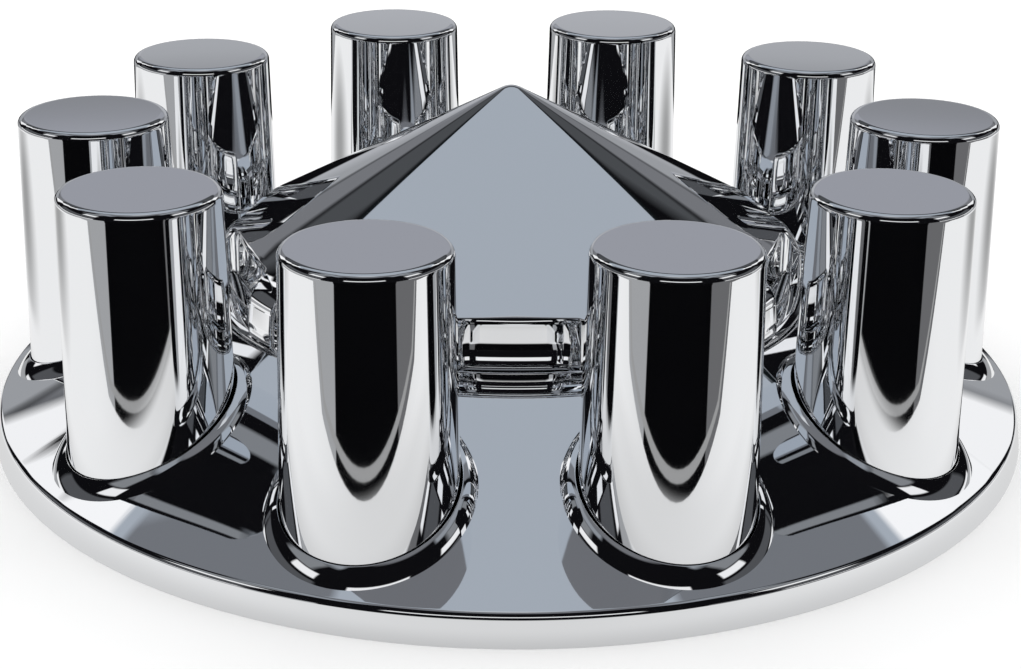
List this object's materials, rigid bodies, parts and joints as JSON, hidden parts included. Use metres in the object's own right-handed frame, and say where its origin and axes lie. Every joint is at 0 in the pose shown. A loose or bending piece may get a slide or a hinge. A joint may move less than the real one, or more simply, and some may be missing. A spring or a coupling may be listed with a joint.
{
  "type": "axle cover",
  "caption": "Chromed dished front axle cover for a truck wheel, with a removable pointed hub cap and tall thread-on nut covers standing in raised collars.",
  "frame": {"origin": "centre of the rim's flat face, on the wheel axis", "axes": "+Z along the wheel axis towards the tip of the hub cap, +X through one nut cover"},
  "size_m": [0.361, 0.361, 0.1159],
  "materials": {
    "cover_chrome": "mirror-polished chrome plate on moulded plastic",
    "cap_chrome": "mirror-polished chrome plate on moulded plastic",
    "nut_cover_chrome": "mirror-polished chrome plate on moulded plastic"
  },
  "bodies": {
    "root": {"axle_cover": "cover_chrome", "hub_cap": "cap_chrome", "nut_cover_01": "nut_cover_chrome", "nut_cover_02": "nut_cover_chrome", "nut_cover_03": "nut_cover_chrome", "nut_cover_04": "nut_cover_chrome", "nut_cover_05": "nut_cover_chrome", "nut_cover_06": "nut_cover_chrome", "nut_cover_07": "nut_cover_chrome", "nut_cover_08": "nut_cover_chrome", "nut_cover_09": "nut_cover_chrome", "nut_cover_10": "nut_cover_chrome"}
  },
  "joints": []
}
